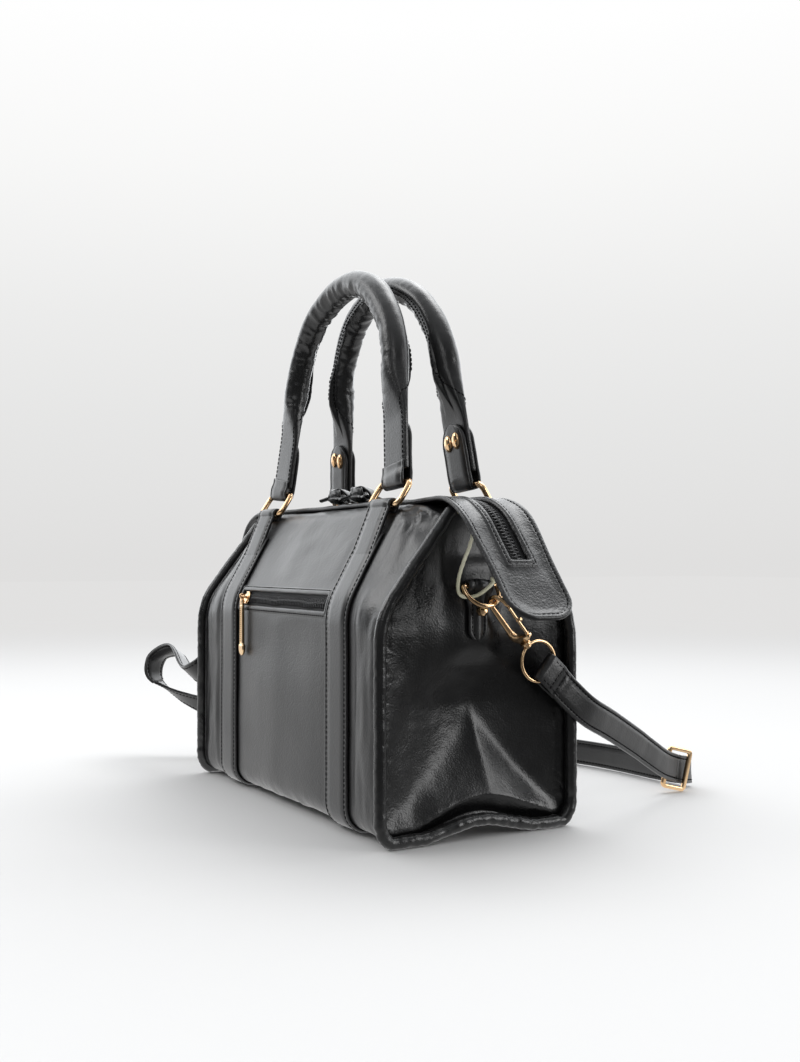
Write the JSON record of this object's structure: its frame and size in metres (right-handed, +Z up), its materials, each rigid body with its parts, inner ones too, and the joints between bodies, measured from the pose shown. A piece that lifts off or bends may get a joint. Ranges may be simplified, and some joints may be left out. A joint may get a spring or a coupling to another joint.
{
  "type": "top handle bag",
  "caption": "Structured top handle bag with padded ring-mounted handles, a long top zip with tongue ends, a zipped front pocket and a clipped shoulder strap.",
  "frame": {"origin": "on the ground below the centre of the base, 3 mm under the base leather", "axes": "+Z up, -Y towards the front with the pocket, +X towards the end that the picture shows"},
  "size_m": [0.4842, 0.315, 0.378],
  "materials": {
    "black_leather": "satin, fine pebble grain",
    "gold_metal": "polished pale gold",
    "lining_cloth": "woven lining",
    "base_board": "matte",
    "zip_tape": "woven tape with moulded teeth",
    "cream_cord": "waxed cord"
  },
  "bodies": {
    "bag": {"front_panel": "black_leather", "back_panel": "black_leather", "base_panel": "black_leather", "base_board": "base_board", "lining": "lining_cloth", "end_panel_right": "black_leather", "end_panel_left": "black_leather", "piping_right": "black_leather", "piping_left": "black_leather", "zip_panel": "black_leather", "zip_side_front": "zip_tape", "zip_side_rear": "zip_tape", "strap_right": "black_leather", "strap_left": "black_leather", "ring_loop_front_right": "black_leather", "ring_loop_front_left": "black_leather", "ring_loop_back_right": "black_leather", "ring_loop_back_left": "black_leather", "side_tab_right": "black_leather", "side_tab_left": "black_leather", "side_stud_right": "gold_metal", "side_stud_left": "gold_metal", "shoulder_strap": "black_leather", "strap_buckle": "gold_metal", "pocket_lips": "black_leather", "pocket_pouch": "lining_cloth", "pocket_zip": "zip_tape", "tag_cord": "cream_cord"},
    "ring_front_right": {"ring_front_right": "gold_metal"},
    "ring_front_left": {"ring_front_left": "gold_metal"},
    "ring_back_right": {"ring_back_right": "gold_metal"},
    "ring_back_left": {"ring_back_left": "gold_metal"},
    "handle_front": {"grip_front": "black_leather", "tab_front_right": "black_leather", "tab_front_left": "black_leather", "studs_front": "gold_metal"},
    "handle_back": {"grip_back": "black_leather", "tab_back_right": "black_leather", "tab_back_left": "black_leather", "studs_back": "gold_metal"},
    "end_ring_right": {"d_ring_right": "gold_metal", "clasp_eye_right": "gold_metal", "strap_end_right": "black_leather"},
    "end_ring_left": {"d_ring_left": "gold_metal", "clasp_eye_left": "gold_metal", "strap_end_left": "black_leather"},
    "hook_right": {"clasp_hook_right": "gold_metal"},
    "hook_left": {"clasp_hook_left": "gold_metal"},
    "gate_right": {"clasp_gate_right": "gold_metal"},
    "gate_left": {"clasp_gate_left": "gold_metal"},
    "slider_right": {"slider_right": "gold_metal"},
    "slider_left": {"slider_left": "gold_metal"},
    "knot_right": {"knot_right": "black_leather"},
    "knot_left": {"knot_left": "black_leather"},
    "pocket_slider": {"pocket_slider": "gold_metal"},
    "pocket_pull": {"pocket_pull": "gold_metal"}
  },
  "joints": [
    {"name": "ring_front_right_swing", "type": "hinge", "parent": "bag", "child": "ring_front_right", "pos_m": [0.09, -0.03643, 0.2062], "axis": [1, 0, 0], "range_deg": [0, 70]},
    {"name": "ring_back_right_swing", "type": "hinge", "parent": "bag", "child": "ring_back_right", "pos_m": [0.09, 0.03643, 0.2062], "axis": [-1, 0, 0], "range_deg": [0, 70]},
    {"name": "ring_front_left_swing", "type": "hinge", "parent": "bag", "child": "ring_front_left", "pos_m": [-0.09, -0.03643, 0.2062], "axis": [1, 0, 0], "range_deg": [0, 70]},
    {"name": "ring_back_left_swing", "type": "hinge", "parent": "bag", "child": "ring_back_left", "pos_m": [-0.09, 0.03643, 0.2062], "axis": [-1, 0, 0], "range_deg": [0, 70]},
    {"name": "handle_front_swing", "type": "hinge", "parent": "ring_front_right", "child": "handle_front", "pos_m": [0.09, -0.02663, 0.22129], "axis": [1, 0, 0], "range_deg": [-2, 75]},
    {"name": "handle_back_swing", "type": "hinge", "parent": "ring_back_right", "child": "handle_back", "pos_m": [0.09, 0.02663, 0.22129], "axis": [-1, 0, 0], "range_deg": [-2, 75]},
    {"name": "end_ring_right_swing", "type": "hinge", "parent": "bag", "child": "end_ring_right", "pos_m": [0.1467, 0, 0.155], "axis": [0, -1, 0], "range_deg": [-4, 40], "deforming": ["shoulder_strap"]},
    {"name": "end_ring_left_swing", "type": "hinge", "parent": "bag", "child": "end_ring_left", "pos_m": [-0.1467, 0, 0.155], "axis": [0, 1, 0], "range_deg": [-4, 40]},
    {"name": "hook_right_swivel", "type": "hinge", "parent": "end_ring_right", "child": "hook_right", "pos_m": [0.15375, 0.00945, 0.14316], "axis": [0, 0.6428, -0.766], "range_deg": [-20, 20]},
    {"name": "hook_left_swivel", "type": "hinge", "parent": "end_ring_left", "child": "hook_left", "pos_m": [-0.15375, -0.00945, 0.14316], "axis": [0, -0.6428, -0.766], "range_deg": [-20, 20]},
    {"name": "gate_right_press", "type": "hinge", "parent": "hook_right", "child": "gate_right", "pos_m": [0.15911, 0.02681, 0.12551], "axis": [0.342, -0.7198, -0.604], "range_deg": [0, 20], "stiffness_Nm_per_rad": 0.02, "springref_deg": -11.46},
    {"name": "gate_left_press", "type": "hinge", "parent": "hook_left", "child": "gate_left", "pos_m": [-0.15911, -0.02681, 0.12551], "axis": [-0.342, 0.7198, -0.604], "range_deg": [0, 20], "stiffness_Nm_per_rad": 0.02, "springref_deg": -11.46},
    {"name": "zip_slider_right_run", "type": "slide", "parent": "bag", "child": "slider_right", "axis": [1, 0, 0], "range_m": [0, 0.095]},
    {"name": "zip_slider_left_run", "type": "slide", "parent": "bag", "child": "slider_left", "axis": [-1, 0, 0], "range_m": [0, 0.095]},
    {"name": "knot_right_swing", "type": "hinge", "parent": "slider_right", "child": "knot_right", "pos_m": [0.02129, 0, 0.2132], "axis": [-1, 0, 0], "range_deg": [0, 150]},
    {"name": "knot_left_swing", "type": "hinge", "parent": "slider_left", "child": "knot_left", "pos_m": [-0.01271, 0, 0.2132], "axis": [-1, 0, 0], "range_deg": [0, 150]},
    {"name": "pocket_slider_run", "type": "slide", "parent": "bag", "child": "pocket_slider", "axis": [1, 0, 0], "range_m": [0, 0.12]},
    {"name": "pocket_pull_swing", "type": "hinge", "parent": "pocket_slider", "child": "pocket_pull", "pos_m": [-0.06, -0.07213, 0.14426], "axis": [-1, 0, 0], "range_deg": [0, 55]}
  ],
  "couplings": [
    {"joint": "ring_front_left_swing", "follows": "ring_front_right_swing", "ratio": 1},
    {"joint": "ring_back_left_swing", "follows": "ring_back_right_swing", "ratio": 1}
  ]
}
